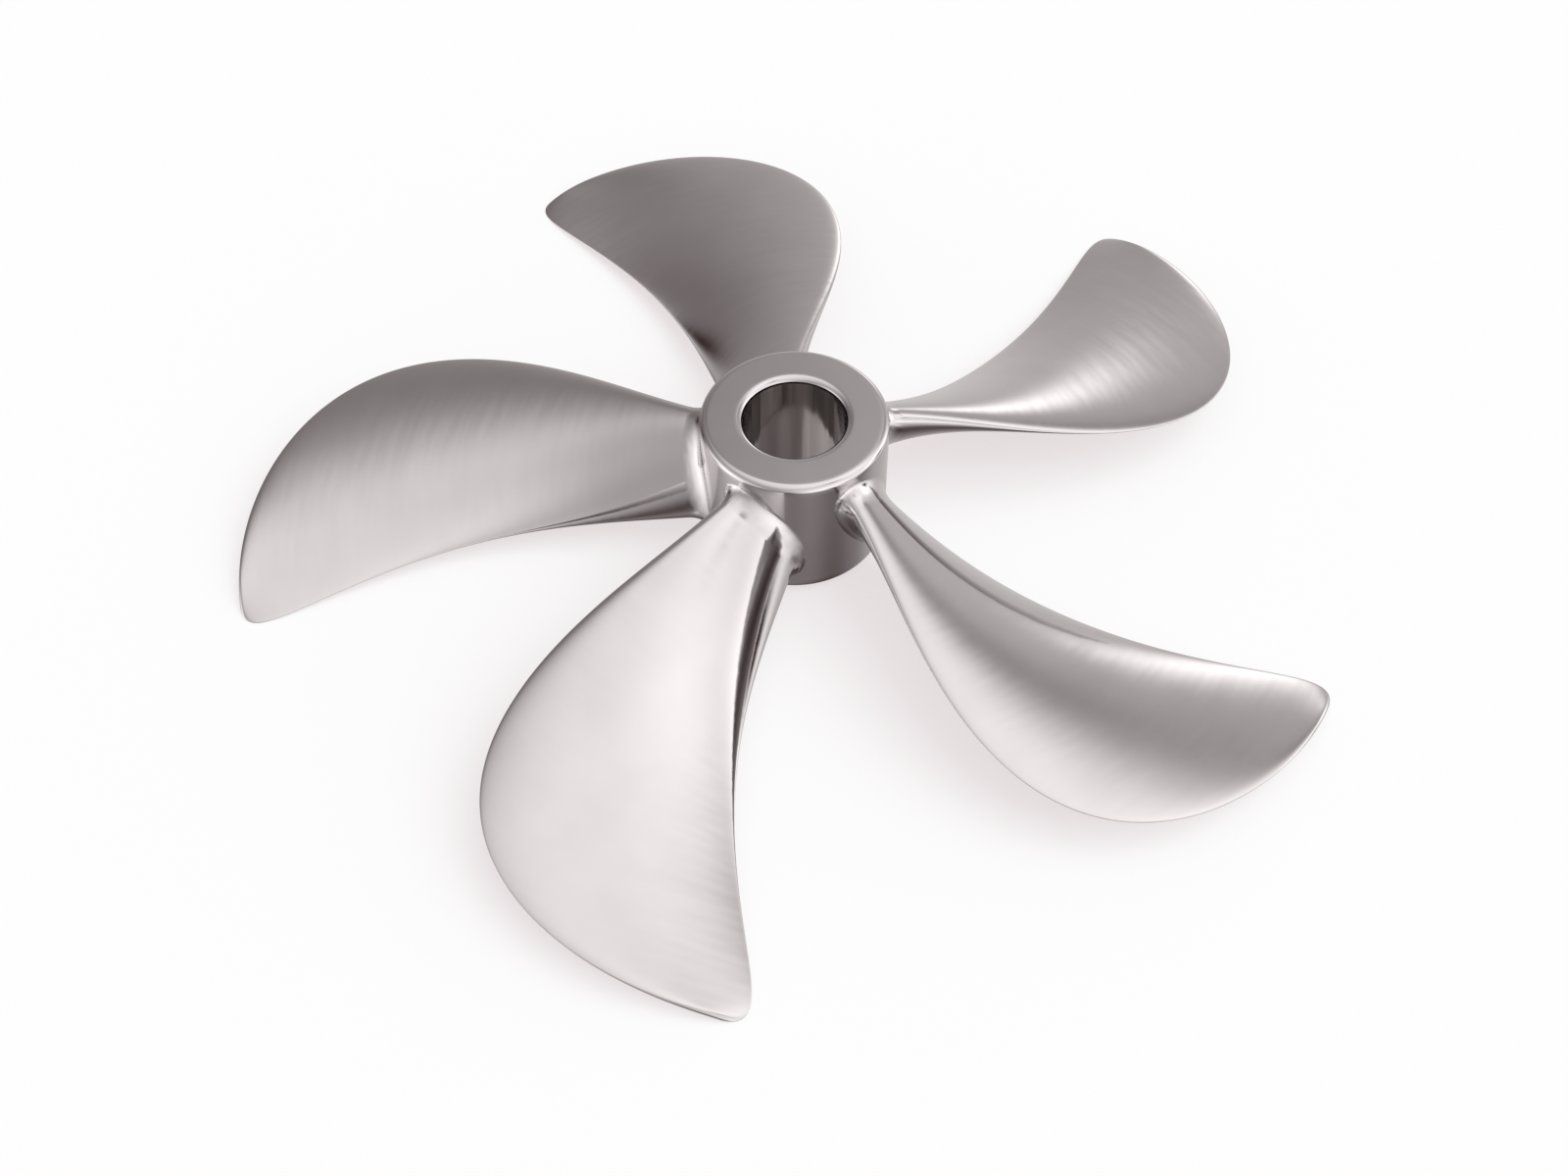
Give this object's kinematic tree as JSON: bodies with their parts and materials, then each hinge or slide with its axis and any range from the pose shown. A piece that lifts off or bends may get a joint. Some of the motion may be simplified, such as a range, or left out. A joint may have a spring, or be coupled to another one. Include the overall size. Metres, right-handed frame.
{
  "type": "boat propeller",
  "caption": "Fabricated boat propeller with wide skewed blades welded round a short bored hub, polished metal, left-hand pitch.",
  "frame": {"origin": "on the shaft axis, at the height of the centroid of the whole propeller", "axes": "+Z along the shaft axis towards the forward end of the hub; +X lies between the first blade's leading edge and the fifth blade's trailing edge"},
  "size_m": [0.5331, 0.5397, 0.0789],
  "materials": {
    "blade_metal": "polished",
    "hub_metal": "fine turned and polished",
    "weld_metal": "ground and polished fillet"
  },
  "bodies": {
    "root": {"hub": "hub_metal", "blade_1": "blade_metal", "weld_forward_1": "weld_metal", "weld_aft_1": "weld_metal", "blade_2": "blade_metal", "weld_forward_2": "weld_metal", "weld_aft_2": "weld_metal", "blade_3": "blade_metal", "weld_forward_3": "weld_metal", "weld_aft_3": "weld_metal", "blade_4": "blade_metal", "weld_forward_4": "weld_metal", "weld_aft_4": "weld_metal", "blade_5": "blade_metal", "weld_forward_5": "weld_metal", "weld_aft_5": "weld_metal"}
  },
  "joints": []
}
